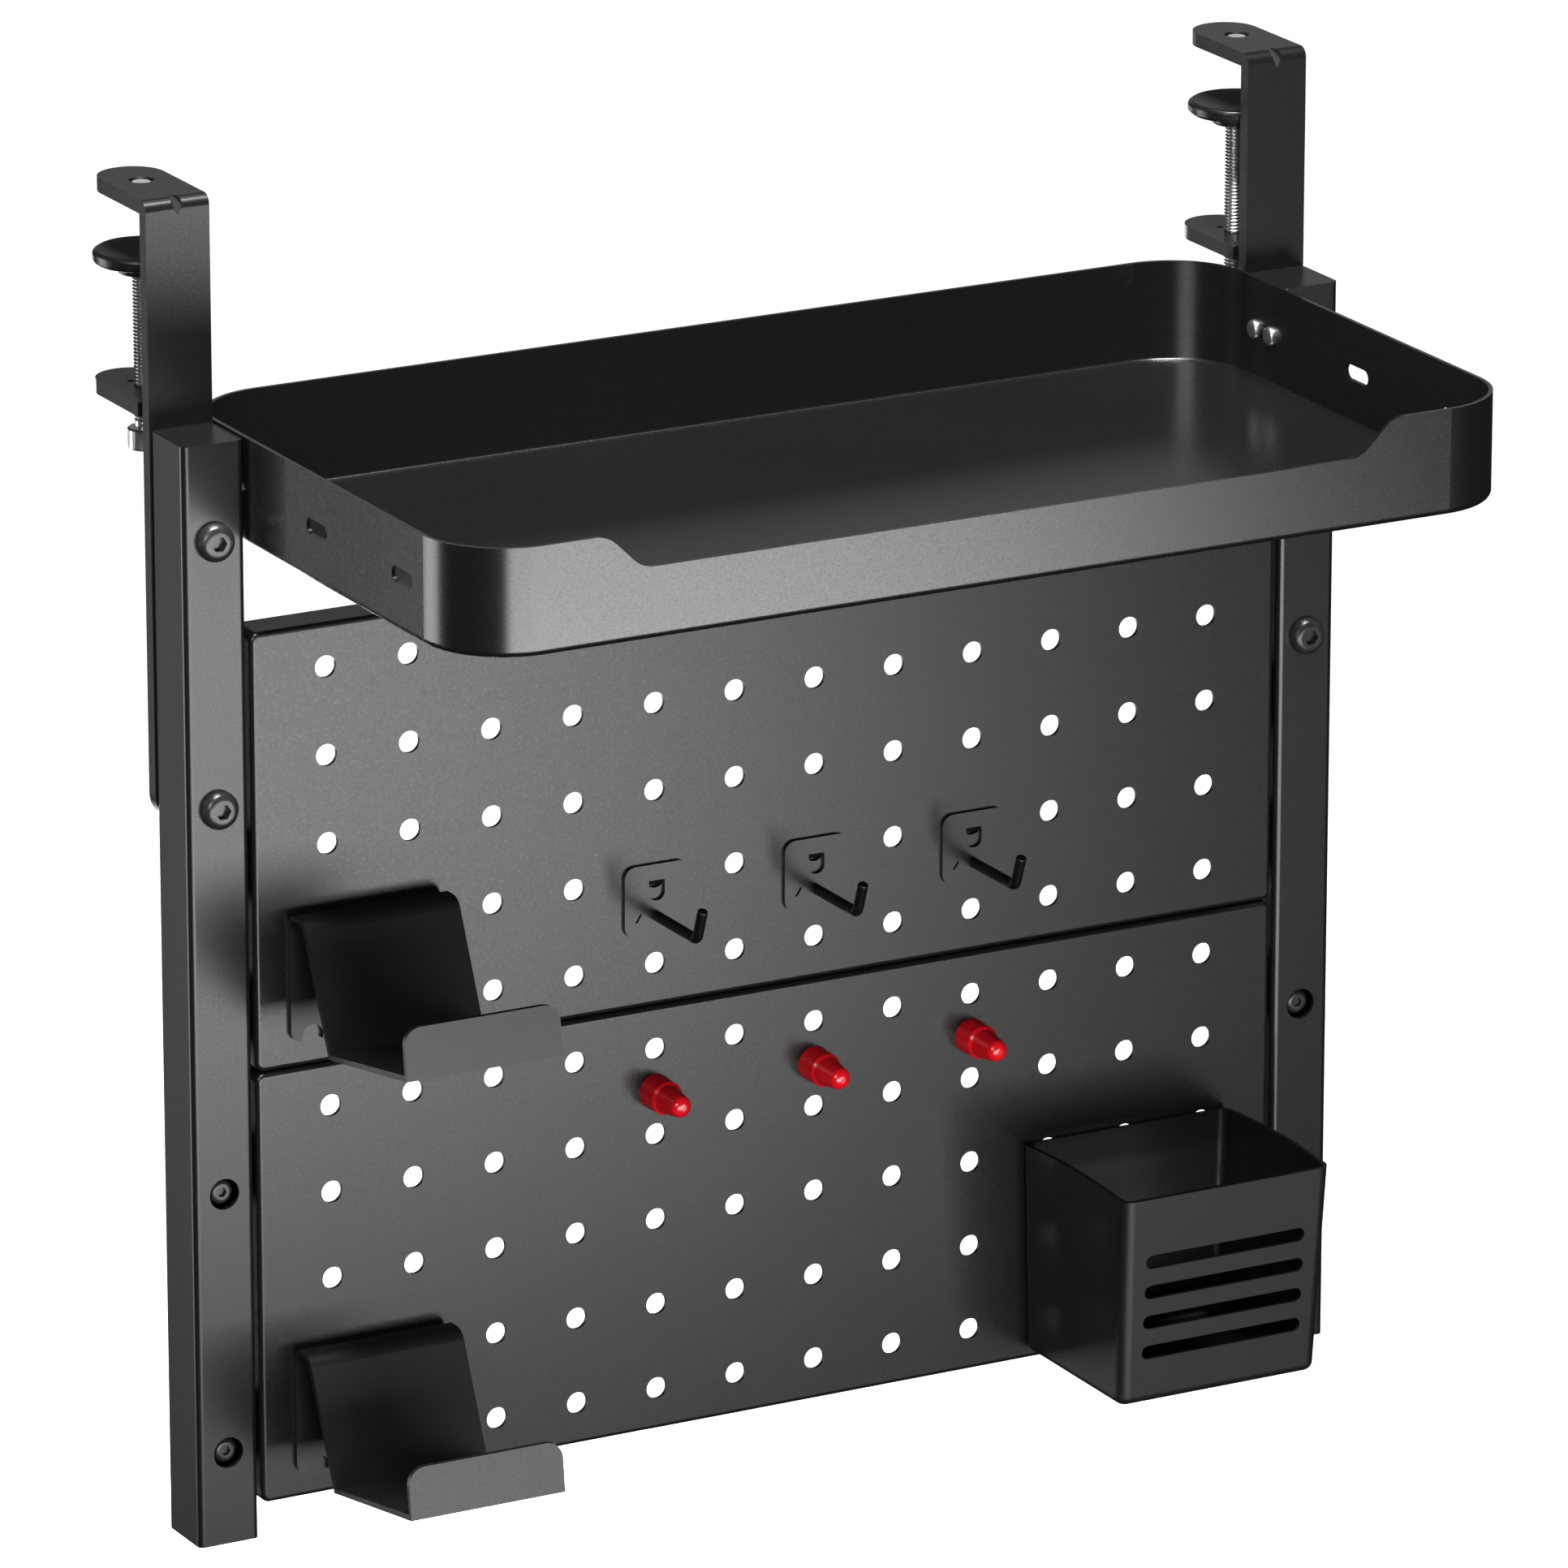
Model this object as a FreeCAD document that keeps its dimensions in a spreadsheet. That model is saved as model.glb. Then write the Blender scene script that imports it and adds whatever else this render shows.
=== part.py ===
import FreeCAD, Part
import Sketcher
import math
import os
import re

from FreeCAD import Placement, Rotation, Vector

# Pegboard tool wall that hangs under the front edge of a desk.
# Millimetres.  X runs along the desk edge, Y runs in under the desk and Z is up.
# Z = 0 is the desk top that the upper clamp tabs rest on; Y = 0 is the desk's front edge.

doc = FreeCAD.newDocument("PegboardWall")
sheet = doc.addObject("Spreadsheet::Sheet", "Sizes")

sizes = {
    # peg panels
    "peg_pitch": 25.4,
    "peg_hole": 6.4,
    "peg_columns": 12,
    "peg_rows": 5,
    "panel_width": 324.6,
    "panel_height": 126.5,
    "panel_sheet": 1.2,
    "panel_fold": 12,
    "panel_corner": 2.4,
    "panel_bend": 1.4,
    "panel_front": 23.8,
    "panel_gap": 0.5,
    "first_row": 127.8,
    "row_margin": 12.45,
    "ear_length": 13.5,
    "ear_height": 20,
    "ear_upper_first": 187,
    "ear_upper_step": 42,
    # posts
    "post_width": 18.5,
    "post_depth": 20,
    "post_wall": 1.5,
    "post_round": 1.8,
    "post_centre": 172.8,
    "post_top": 60,
    "post_bottom": 378.5,
    "cap_plate": 2.5,
    "cap_plug": 8,
    "bolt_upper": 87.6,
    "bolt_step": 76.2,
    "bolt_clearance": 6.4,
    "access_upper": 275.3,
    "access_hole": 9,
    "ear_thread": 4,
    # desk clamps
    "strap_width": 19.1,
    "strap_thick": 4,
    "strap_round": 3,
    "tab_length": 34.2,
    "tab_hole": 7,
    "lower_length": 37.6,
    "screw_reach": 18.7,
    "gusset_depth": 2.2,
    "gusset_half": 1.9,
    "lower_tab": 53.8,
    "tongue_width": 10,
    "relief_width": 1.4,
    "relief_length": 3.2,
    "pin_hole": 2,
    "pin_hole_x": 1.7,
    "pin_hole_y": 23.9,
    "rivet_foot": 2.2,
    "rivet_across": 5.8,
    "rivet_height": 1.4,
    "screw_thread": 6,
    "screw_play": 0.1,
    "screw_length": 47.6,
    "screw_tip": 18,
    "head_across": 10,
    "head_height": 6,
    "socket_flats": 5,
    "socket_depth": 3,
    "desk_thick": 15,
    "pad_across": 27.4,
    "pad_thick": 3.5,
    "facing_proud": 0.3,
    "pad_round": 1,
    "facing_thick": 0.8,
    "facing_across": 25,
    "hub_across": 14,
    "hub_height": 3,
    "screw_tip_gap": 3.8,
    # tray
    "tray_width": 326.4,
    "tray_front": 155.3,
    "tray_rear": 19.8,
    "tray_top": 59.4,
    "tray_height": 30.3,
    "tray_corner": 24,
    "tray_base_round": 2,
    "tray_sheet": 1.2,
    "cut_drop": 10.2,
    "cut_low_half": 110.4,
    "cut_top_half": 120.8,
    "cut_round": 9,
    "slot_length": 12.4,
    "slot_height": 4.4,
    "slot_drop": 14.8,
    "slot_step": 51,
    "slot_middle": 67.6,
    "tray_screw_step": 8.8,
    # button heads and small screws
    "button_across": 10.9,
    "button_height": 3.3,
    "button_socket": 4,
    "small_head": 7,
    "small_height": 2,
    "small_socket": 2.5,
    "head_recess": 1.6,
    "shoulder_across": 6,
    "tray_head": 5.6,
    "tray_thread": 3,
    # hooks
    "hook_width": 20.3,
    "hook_height": 20.9,
    "hook_sheet": 1.2,
    "hook_round": 3.5,
    "hook_drop": 6.35,
    "hook_first": 38.1,
    "hook_step": 50.8,
    "window_width": 5,
    "window_top": 0.6,
    "window_foot": 6.6,
    "dimple_length": 3,
    "dimple_width": 0.9,
    "dimple_depth": 0.6,
    "dimple_turn": 57,
    "dimple_out": 5.85,
    "dimple_drop": 11.1,
    "rod_across": 3,
    "rod_reach": 24.6,
    "rod_bend": 2.4,
    "rod_tip": 10.8,
    "rod_lean": 20,
    "rod_drop": 11.2,
    # parts of every accessory that enter the peg holes
    "peg_tab": 4.4,
    "peg_tab_thick": 1.2,
    "peg_leg": 2.4,
    "peg_play": 0.15,
    # magnetic pins
    "pin_across": 10.4,
    "pin_base": 7,
    "pin_length": 17,
    "pin_shoulder": 9.8,
    "pin_neck": 4.2,
    "pin_tip": 2.9,
    "magnet_across": 8,
    "magnet_thick": 2,
    # sloping holders
    "holder_width": 47.4,
    "holder_sheet": 1.5,
    "holder_centre": 128.6,
    "holder_top": 196.6,
    "holder_step": 127,
    "holder_back": 37.6,
    "holder_fold": 10.4,
    "holder_knee_out": 25.6,
    "holder_knee_drop": 35.4,
    "holder_lip_out": 72.8,
    "holder_lip_foot": 27.4,
    "holder_lip_top": 12.8,
    "holder_lip_lean": 1.7,
    "holder_round": 5,
    "holder_notch": 3.2,
    "holder_notch_from": 17.1,
    # slotted cup
    "cup_centre": 114.3,
    "cup_top": 303,
    "cup_height": 62.9,
    "cup_width": 68,
    "cup_depth": 59.4,
    "cup_low_width": 65,
    "cup_low_depth": 54.9,
    "cup_sheet": 1.2,
    "cup_round": 3.5,
    "cup_arch": 1.5,
    "cup_slots": 4,
    "cup_slot_length": 52.2,
    "cup_slot_height": 4.2,
    "cup_slot_first": 19.2,
    "cup_slot_step": 9.3,
}

for number, (word, value) in enumerate(sizes.items(), 1):
    sheet.set("A%d" % number, word)
    sheet.set("B%d" % number, str(value))
    sheet.setAlias("B%d" % number, word)
doc.recompute()


def bound(text):
    """Point every size word in an expression at the sheet."""
    return re.sub(r"[a-z]+_[a-z_]+", lambda word: "Sizes." + word.group(0), str(text))


def size(text):
    return float(sheet.evalExpression(bound(text)))


def new_body(label, x="0", y="0", z="0"):
    body = doc.addObject("PartDesign::Body", label.title().replace("_", ""))
    body.Label = label
    body.Placement = Placement(Vector(size(x), size(y), size(z)), Rotation())
    for axis, text in (("x", x), ("y", y), ("z", z)):
        body.setExpression("Placement.Base." + axis, bound(text))
    return body


def new_sketch(body, plane, name, offset="0", turn=None):
    origin = [part for part in body.Origin.OriginFeatures if part.Role == plane][0]
    sketch = body.newObject("Sketcher::SketchObject", name)
    sketch.AttachmentSupport = [(origin, "")]
    sketch.MapMode = "FlatFace"
    sketch.AttachmentOffset = Placement(Vector(0, 0, size(offset)), turn or Rotation())
    sketch.setExpression("AttachmentOffset.Base.z", bound(offset))
    return sketch


def pin_point(sketch, line, end, place):
    """Hold one point of a sketch at a place given as two expressions."""
    for kind, text in zip(("DistanceX", "DistanceY"), place):
        number = sketch.addConstraint(Sketcher.Constraint(kind, -1, 1, line, end, size(text)))
        sketch.setExpression("Constraints[%d]" % number, bound(text))


def outline(sketch, corners):
    """Closed straight-sided outline; every corner is a pair of expressions."""
    first = sketch.GeometryCount
    places = [Vector(size(x), size(y), 0) for x, y in corners]
    count = len(places)
    for index, place in enumerate(places):
        sketch.addGeometry(Part.LineSegment(place, places[(index + 1) % count]), False)
    for index, corner in enumerate(corners):
        following = first + (index + 1) % count
        sketch.addConstraint(Sketcher.Constraint("Coincident", first + index, 2, following, 1))
        pin_point(sketch, first + index, 1, corner)


def rectangle(sketch, width, height, x="0", y="0"):
    left = "%s - (%s) / 2" % (x, width)
    right = "%s + (%s) / 2" % (x, width)
    low = "%s - (%s) / 2" % (y, height)
    high = "%s + (%s) / 2" % (y, height)
    outline(sketch, [(left, low), (right, low), (right, high), (left, high)])


def circle(sketch, across, x="0", y="0"):
    centre = Vector(size(x), size(y), 0)
    number = sketch.addGeometry(Part.Circle(centre, Vector(0, 0, 1), size(across) / 2), False)
    pin_point(sketch, number, 3, (x, y))
    limit = sketch.addConstraint(Sketcher.Constraint("Diameter", number, size(across)))
    sketch.setExpression("Constraints[%d]" % limit, bound(across))


def hexagon(sketch, flats, x="0", y="0"):
    radius = "(%s) / 1.7320508" % flats
    corners = []
    for step in range(6):
        angle = math.radians(60 * step)
        across = "%s + %s * %.7f" % (x, radius, math.cos(angle))
        upward = "%s + %s * %.7f" % (y, radius, math.sin(angle))
        corners.append((across, upward))
    outline(sketch, corners)


def slot(sketch, length, height, x="0", y="0"):
    """Round-ended slot lying along the sketch's X axis."""
    radius = size(height) / 2
    half = size(length) / 2 - radius
    centre = Vector(size(x), size(y), 0)
    ends = []
    for side in (1, -1):
        middle = centre + Vector(side * half, 0, 0)
        arc = Part.ArcOfCircle(
            Part.Circle(middle, Vector(0, 0, 1), radius),
            math.radians(-90 if side > 0 else 90),
            math.radians(90 if side > 0 else 270),
        )
        ends.append(sketch.addGeometry(arc, False))
    right, left = ends
    up = Vector(0, radius, 0)
    out = Vector(half, 0, 0)
    top = sketch.addGeometry(Part.LineSegment(centre + out + up, centre - out + up), False)
    base = sketch.addGeometry(Part.LineSegment(centre - out - up, centre + out - up), False)
    sketch.addConstraint(Sketcher.Constraint("Tangent", right, 2, top, 1))
    sketch.addConstraint(Sketcher.Constraint("Tangent", top, 2, left, 1))
    sketch.addConstraint(Sketcher.Constraint("Tangent", left, 2, base, 1))
    sketch.addConstraint(Sketcher.Constraint("Tangent", base, 2, right, 1))
    pin_point(sketch, right, 3, ("%s + ((%s) - (%s)) / 2" % (x, length, height), y))
    pin_point(sketch, left, 3, ("%s - ((%s) - (%s)) / 2" % (x, length, height), y))
    limit = sketch.addConstraint(Sketcher.Constraint("Radius", right, radius))
    sketch.setExpression("Constraints[%d]" % limit, bound("(%s) / 2" % height))


def pad(body, sketch, length, name, both=False, back=False):
    feature = body.newObject("PartDesign::Pad", name)
    feature.Profile = sketch
    feature.Length = size(length)
    feature.setExpression("Length", bound(length))
    feature.SideType = "Symmetric" if both else "One side"
    feature.Reversed = back
    doc.recompute()
    return feature


def pocket(body, sketch, length, name, both=False, back=False):
    """Cut a sketch out of the body, and stop if the cut goes the wrong way."""
    before = body.Shape.Volume
    feature = body.newObject("PartDesign::Pocket", name)
    feature.Profile = sketch
    feature.Length = size(length)
    feature.setExpression("Length", bound(length))
    feature.SideType = "Symmetric" if both else "One side"
    feature.Reversed = back
    doc.recompute()
    if feature.Shape.Volume > before - 1e-3:
        raise ValueError("nothing was cut by " + name + " of " + body.Label)
    return feature


def revolve(body, sketch, axis, name):
    feature = body.newObject("PartDesign::Revolution", name)
    feature.Profile = sketch
    feature.ReferenceAxis = (sketch, [axis])
    feature.Angle = 360
    doc.recompute()
    return feature


def edges(shape, test):
    """Names of the edges whose middle point and direction pass a test."""
    found = []
    for number, edge in enumerate(shape.Edges, 1):
        start = edge.Vertexes[0].Point
        finish = edge.Vertexes[-1].Point
        middle = edge.valueAt((edge.FirstParameter + edge.LastParameter) / 2)
        if test(middle, finish - start):
            found.append("Edge%d" % number)
    return found


def rounding(body, radius, name, test):
    base = body.Tip
    names = edges(base.Shape, test)
    if not names:
        raise ValueError("no edge to round for " + name + " of " + body.Label)
    feature = body.newObject("PartDesign::Fillet", name)
    feature.Base = (base, names)
    feature.Radius = size(radius)
    feature.setExpression("Radius", bound(radius))
    doc.recompute()
    return feature


def repeat(body, features, sketch, name, across=(1, "0"), upward=(1, "0")):
    """Repeat features on a grid along the sketch's own two axes."""
    feature = body.newObject("PartDesign::LinearPattern", name)
    feature.Originals = features
    feature.Direction = (sketch, ["H_Axis"])
    feature.Mode = "Spacing"
    feature.Occurrences = across[0]
    feature.Direction2 = (sketch, ["V_Axis"])
    feature.Mode2 = "Spacing"
    feature.Occurrences2 = upward[0]
    feature.Spacings = [-1.0] * (across[0] - 1)
    feature.Spacings2 = [-1.0] * (upward[0] - 1)
    for slot_name, text, axis in (("Offset", across[1], ""), ("Offset2", upward[1], "2")):
        if text.startswith("-"):
            setattr(feature, "Reversed" + axis, True)
            text = text[1:]
        if text != "0":
            setattr(feature, slot_name, size(text))
            feature.setExpression(slot_name, bound(text))
    body.Tip = feature
    doc.recompute()
    return feature


def along(direction, axis):
    """True for a straight run along one axis."""
    others = [abs(value) for index, value in enumerate(direction) if index != axis]
    return max(others) < 1e-4 and abs(direction[axis]) > 1e-4


def near(value, text, slack=0.02):
    return abs(value - size(text)) < slack


def make_post(label, side):
    """Square tube with its bolt, access, ear and tray screw holes."""
    post = new_body(label, x="%d * post_centre" % side)
    middle = "-strap_thick - post_depth / 2"
    plan = new_sketch(post, "XY_Plane", "TubePlan", "-post_bottom + cap_plate")
    rectangle(plan, "post_width", "post_depth", "0", middle)
    pad(post, plan, "post_bottom - post_top - 2 * cap_plate", "Tube")
    rounding(post, "post_round", "TubeEdges", lambda point, run: along(run, 2))
    bore = new_sketch(post, "XY_Plane", "BorePlan", "-post_bottom + cap_plate")
    rectangle(bore, "post_width - 2 * post_wall", "post_depth - 2 * post_wall", "0", middle)
    pocket(post, bore, "post_bottom", "Bore", back=True)
    bolts = new_sketch(post, "XZ_Plane", "BoltHoles")
    for step in range(2):
        circle(bolts, "bolt_clearance", "0", "-bolt_upper - %d * bolt_step" % step)
    pocket(post, bolts, "2 * post_depth + 4 * strap_thick", "BoltCut", both=True)
    access = new_sketch(post, "XZ_Plane", "AccessHoles", "strap_thick + post_depth / 2")
    for step in range(2):
        circle(access, "access_hole", "0", "-access_upper - %d * bolt_step" % step)
    pocket(post, access, "post_depth", "AccessCut", back=True)
    threads = new_sketch(post, "XZ_Plane", "EarHoles", "strap_thick + post_depth / 2")
    for step in range(2):
        circle(threads, "ear_thread", "0", "-access_upper - %d * bolt_step" % step)
        circle(threads, "ear_thread", "0", "-ear_upper_first - %d * ear_upper_step" % step)
    pocket(post, threads, "post_depth", "EarCut")
    inner = new_sketch(post, "YZ_Plane", "TrayHoles")
    for step in (-0.5, 0.5):
        place = "-slot_middle + slot_step + %.1f * tray_screw_step" % step
        circle(inner, "tray_thread", place, "-tray_top - slot_drop")
    pocket(post, inner, "post_width", "TrayCut", back=side < 0)
    return post


def make_cap(label, side, height, upper):
    """Plastic plug with a flush plate that closes one end of a post."""
    cap = new_body(label, x="%d * post_centre" % side, z=height)
    middle = "-strap_thick - post_depth / 2"
    way = 1 if upper else -1
    plate = new_sketch(cap, "XY_Plane", "PlatePlan")
    rectangle(plate, "post_width", "post_depth", "0", middle)
    pad(cap, plate, "cap_plate", "Plate", back=upper)
    rounding(cap, "post_round", "PlateEdges", lambda point, run: along(run, 2))
    plug = new_sketch(cap, "XY_Plane", "PlugPlan", "%d * cap_plate" % -way)
    inside = "post_%s - 2 * post_wall - 0.1"
    rectangle(plug, inside % "width", inside % "depth", "0", middle)
    pad(cap, plug, "cap_plug", "Plug", back=upper)
    hollow = new_sketch(cap, "XY_Plane", "HollowPlan", "%d * (cap_plate + cap_plug)" % -way)
    inside = "post_%s - 4 * post_wall - 0.1"
    rectangle(hollow, inside % "width", inside % "depth", "0", middle)
    pocket(cap, hollow, "cap_plug", "Hollow", back=upper)
    return cap


def make_panel(label, top, ears):
    """Folded peg panel with four edge flanges and two ears behind each post."""
    panel = new_body(label, y="-panel_front", z=top)
    face = new_sketch(panel, "XZ_Plane", "Face")
    rectangle(face, "panel_width", "panel_height", "0", "-panel_height / 2")
    pad(panel, face, "panel_fold", "Blank", back=True)
    rounding(panel, "panel_corner", "CornerEdges", lambda point, run: along(run, 1))
    rounding(panel, "panel_bend", "FoldEdges", lambda point, run: abs(point.y) < 1e-4)
    base = panel.Tip
    rear = [
        "Face%d" % (number + 1)
        for number, side in enumerate(base.Shape.Faces)
        if abs(side.CenterOfMass.y - size("panel_fold")) < 1e-3
    ]
    shell = panel.newObject("PartDesign::Thickness", "Sheet")
    shell.Base = (base, rear)
    shell.Value = size("panel_sheet")
    shell.setExpression("Value", bound("panel_sheet"))
    shell.Reversed = True
    doc.recompute()
    for side in (-1, 1):
        for number, height in enumerate(ears):
            name = "%s%d" % ("Right" if side > 0 else "Left", number + 1)
            ear = new_sketch(panel, "XY_Plane", "Ear" + name, "(%s) - ear_height / 2" % height)
            outside = "%d * panel_width / 2" % side
            inside = "%s - %d * panel_sheet" % (outside, side)
            end = "%s + %d * ear_length" % (outside, side)
            root = "panel_fold - panel_sheet"
            flat = "panel_front - strap_thick"
            outline(ear, [
                (inside, root),
                (outside, root),
                (outside, flat),
                (end, flat),
                (end, flat + " + panel_sheet"),
                (inside, flat + " + panel_sheet"),
            ])
            pad(panel, ear, "ear_height", "EarPad" + name)
    screws = new_sketch(panel, "XZ_Plane", "EarHoles", "-panel_front / 2")
    for side in (-1, 1):
        for height in ears:
            circle(screws, "ear_thread", "%d * post_centre" % side, height)
    pocket(panel, screws, "panel_front", "EarCut")
    peg = new_sketch(panel, "XZ_Plane", "PegHole")
    circle(peg, "peg_hole", "-(peg_columns - 1) * peg_pitch / 2", "-row_margin")
    first = pocket(panel, peg, "3 * panel_sheet", "PegCut", both=True)
    columns = int(size("peg_columns"))
    rows = int(size("peg_rows"))
    repeat(panel, [first], peg, "PegGrid", (columns, "peg_pitch"), (rows, "-peg_pitch"))
    return panel


def make_strap(label, side):
    """Flat bar behind the post, bent back over the desk at the top."""
    strap = new_body(label, x="%d * post_centre" % side)
    foot = "-bolt_upper - bolt_step - strap_width / 2"
    path = new_sketch(strap, "YZ_Plane", "SideOutline")
    outline(path, [
        ("-strap_thick", foot),
        ("0", foot),
        ("0", "0"),
        ("tab_length", "0"),
        ("tab_length", "strap_thick"),
        ("-strap_thick", "strap_thick"),
    ])
    pad(strap, path, "strap_width", "Bar", both=True)
    rounding(strap, "strap_width / 2 - 0.1", "TabEnd", lambda point, run: (
        along(run, 2) and near(point.y, "tab_length")
    ))
    rounding(strap, "strap_width / 2 - 0.1", "BarEnd", lambda point, run: (
        along(run, 1) and near(point.z, foot)
    ))
    rounding(strap, "strap_round", "OuterBend", lambda point, run: (
        along(run, 0) and near(point.y, "-strap_thick") and near(point.z, "strap_thick")
    ))
    hole = new_sketch(strap, "XY_Plane", "TabHole")
    circle(hole, "tab_hole", "0", "screw_reach")
    pocket(strap, hole, "4 * strap_thick", "TabCut", both=True)
    bolts = new_sketch(strap, "XZ_Plane", "BoltHoles")
    for step in range(2):
        circle(bolts, "bolt_clearance", "0", "-bolt_upper - %d * bolt_step" % step)
    pocket(strap, bolts, "4 * strap_thick", "BoltCut", both=True)
    tongue = new_sketch(strap, "XZ_Plane", "TongueHole")
    rectangle(tongue, "tongue_width", "strap_thick", "0", "-lower_tab - strap_thick / 2")
    pocket(strap, tongue, "4 * strap_thick", "TongueCut", both=True)
    # a pressed rib stiffens the bend: a groove outside and a ridge inside
    tilt = Rotation(Vector(1, 0, 0), 45)
    groove = new_sketch(strap, "XZ_Plane", "Groove")
    groove.AttachmentOffset = Placement(Vector(0, 0, 0), tilt)
    corner = "1.4142136 * strap_thick - 0.4142136 * strap_round"
    outline(groove, [
        ("-gusset_half", corner + " + 0.5"),
        ("0", corner + " - gusset_depth"),
        ("gusset_half", corner + " + 0.5"),
    ])
    pocket(strap, groove, "4 * strap_thick", "GrooveCut", both=True)
    ridge = new_sketch(strap, "XZ_Plane", "Ridge")
    ridge.AttachmentOffset = Placement(Vector(0, 0, 0), tilt)
    outline(ridge, [("-gusset_half", "0.4"), ("0", "-gusset_depth"), ("gusset_half", "0.4")])
    pad(strap, ridge, "2 * gusset_depth", "RidgePad", both=True)
    return strap


def make_lower_tab(label, side):
    """Flat tab whose tongue is welded into the strap; its thread carries the screw."""
    tab = new_body(label, x="%d * post_centre" % side, z="-lower_tab")
    plan = new_sketch(tab, "XY_Plane", "Plan")
    half = "strap_width / 2"
    neck = "tongue_width / 2"
    outline(plan, [
        ("-" + half, "0"),
        ("-" + neck, "0"),
        ("-" + neck, "-strap_thick"),
        (neck, "-strap_thick"),
        (neck, "0"),
        (half, "0"),
        (half, "lower_length"),
        ("-" + half, "lower_length"),
    ])
    pad(tab, plan, "strap_thick", "Plate", back=True)
    rounding(tab, "strap_width / 2 - 0.1", "End", lambda point, run: (
        along(run, 2) and near(point.y, "lower_length")
    ))
    hole = new_sketch(tab, "XY_Plane", "ScrewHole")
    circle(hole, "screw_thread + screw_play", "0", "screw_reach")
    pocket(tab, hole, "4 * strap_thick", "ScrewCut", both=True)
    small = new_sketch(tab, "XY_Plane", "PinHole")
    circle(small, "pin_hole", "-pin_hole_x", "pin_hole_y")
    pocket(tab, small, "4 * strap_thick", "PinHoleCut", both=True)
    # corner reliefs beside the strap
    relief = new_sketch(tab, "XY_Plane", "Relief")
    for way in (-1, 1):
        place = "%d * (strap_width - relief_width) / 2" % way
        rectangle(relief, "relief_width", "relief_length", place, "relief_length / 2")
    pocket(tab, relief, "4 * strap_thick", "ReliefCut", both=True)
    return tab


def make_rivet(label, side):
    """Bright stud pressed into the top tab's hole, its rounded end just below the surface."""
    rivet = new_body(label, x="%d * post_centre" % side, y="screw_reach")
    foot = new_sketch(rivet, "XY_Plane", "FootPlan")
    circle(foot, "tab_hole")
    pad(rivet, foot, "rivet_foot", "Foot")
    head = new_sketch(rivet, "XY_Plane", "HeadPlan", "rivet_foot")
    circle(head, "rivet_across")
    pad(rivet, head, "rivet_height", "Head")
    rounding(rivet, "0.8", "HeadEdge", lambda point, run: near(point.z, "rivet_foot + rivet_height"))
    return rivet


def make_screw(label, side):
    """Socket-head screw, head down, whose tip turns in the pad."""
    screw = new_body(label, x="%d * post_centre" % side, y="screw_reach", z="-screw_tip")
    plan = new_sketch(screw, "XY_Plane", "ShankPlan")
    circle(plan, "screw_thread")
    pad(screw, plan, "screw_length", "Shank", back=True)
    rounding(screw, "0.8", "Tip", lambda point, run: abs(point.z) < 1e-3)
    head = new_sketch(screw, "XY_Plane", "HeadPlan", "-screw_length")
    circle(head, "head_across")
    pad(screw, head, "head_height", "Head", back=True)
    rounding(screw, "0.5", "HeadEdge", lambda point, run: (
        near(point.z, "-screw_length - head_height")
    ))
    key = new_sketch(screw, "XY_Plane", "KeyPlan", "-screw_length - head_height")
    hexagon(key, "socket_flats")
    pocket(screw, key, "socket_depth", "Key", back=True)
    return screw


def make_pad(label, side):
    """Round pressure foot with a hub that holds the screw tip."""
    foot = new_body(label, x="%d * post_centre" % side, y="screw_reach", z="-desk_thick")
    plan = new_sketch(foot, "XY_Plane", "DiscPlan", "-facing_proud")
    circle(plan, "pad_across")
    pad(foot, plan, "pad_thick", "Disc", back=True)
    rounding(foot, "pad_round", "DiscEdges", lambda point, run: True)
    under = "-facing_proud - pad_thick"
    hub = new_sketch(foot, "XY_Plane", "HubPlan", under)
    circle(hub, "hub_across")
    pad(foot, hub, "hub_height", "Hub", back=True)
    rounding(foot, "0.6", "HubEdge", lambda point, run: near(point.z, under + " - hub_height"))
    bore = new_sketch(foot, "XY_Plane", "BorePlan", under + " - hub_height")
    circle(bore, "screw_thread + screw_play")
    pocket(foot, bore, "screw_tip_gap", "Bore", back=True)
    recess = new_sketch(foot, "XY_Plane", "FacingRecess", "-facing_proud")
    circle(recess, "facing_across")
    pocket(foot, recess, "facing_thick - facing_proud", "RecessCut")
    return foot


def make_facing(label, side):
    """Thin rubber disc between the pad and the desk."""
    facing = doc.addObject("Part::Cylinder", label.title().replace("_", ""))
    facing.Label = label
    facing.setExpression("Radius", bound("facing_across / 2"))
    facing.setExpression("Height", bound("facing_thick"))
    facing.setExpression("Placement.Base.x", bound("%d * post_centre" % side))
    facing.setExpression("Placement.Base.y", bound("screw_reach"))
    facing.setExpression("Placement.Base.z", bound("-desk_thick - facing_thick"))
    doc.recompute()
    return facing


def headed_pair(label, place, step, head, shank, socket, back=False, shoulder=None):
    """Two domed screws along Y, one above the other; each size is (across, length)."""
    pair = new_body(label, *place)
    rows = ["0", "-(%s)" % step]
    heads = new_sketch(pair, "XZ_Plane", "HeadPlan")
    stems = new_sketch(pair, "XZ_Plane", "ShankPlan")
    rim = 1 if back else -1
    keys = new_sketch(pair, "XZ_Plane", "KeyPlan", "%d * (%s)" % (-rim, head[1]))
    for row in rows:
        circle(heads, head[0], "0", row)
        circle(stems, shank[0], "0", row)
        hexagon(keys, socket, "0", row)
    pad(pair, heads, head[1], "Heads", back=back)
    rounding(pair, "0.7 * (%s)" % head[1], "Domes", lambda point, run: (
        near(rim * point.y, head[1])
    ))
    pad(pair, stems, shank[1], "Shanks", back=not back)
    if shoulder:
        collars = new_sketch(pair, "XZ_Plane", "ShoulderPlan")
        for row in rows:
            circle(collars, shoulder[0], "0", row)
        pad(pair, collars, shoulder[1], "Shoulders", back=not back)
    pocket(pair, keys, "0.6 * (%s)" % head[1], "Keys", back=back)
    return pair


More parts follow.
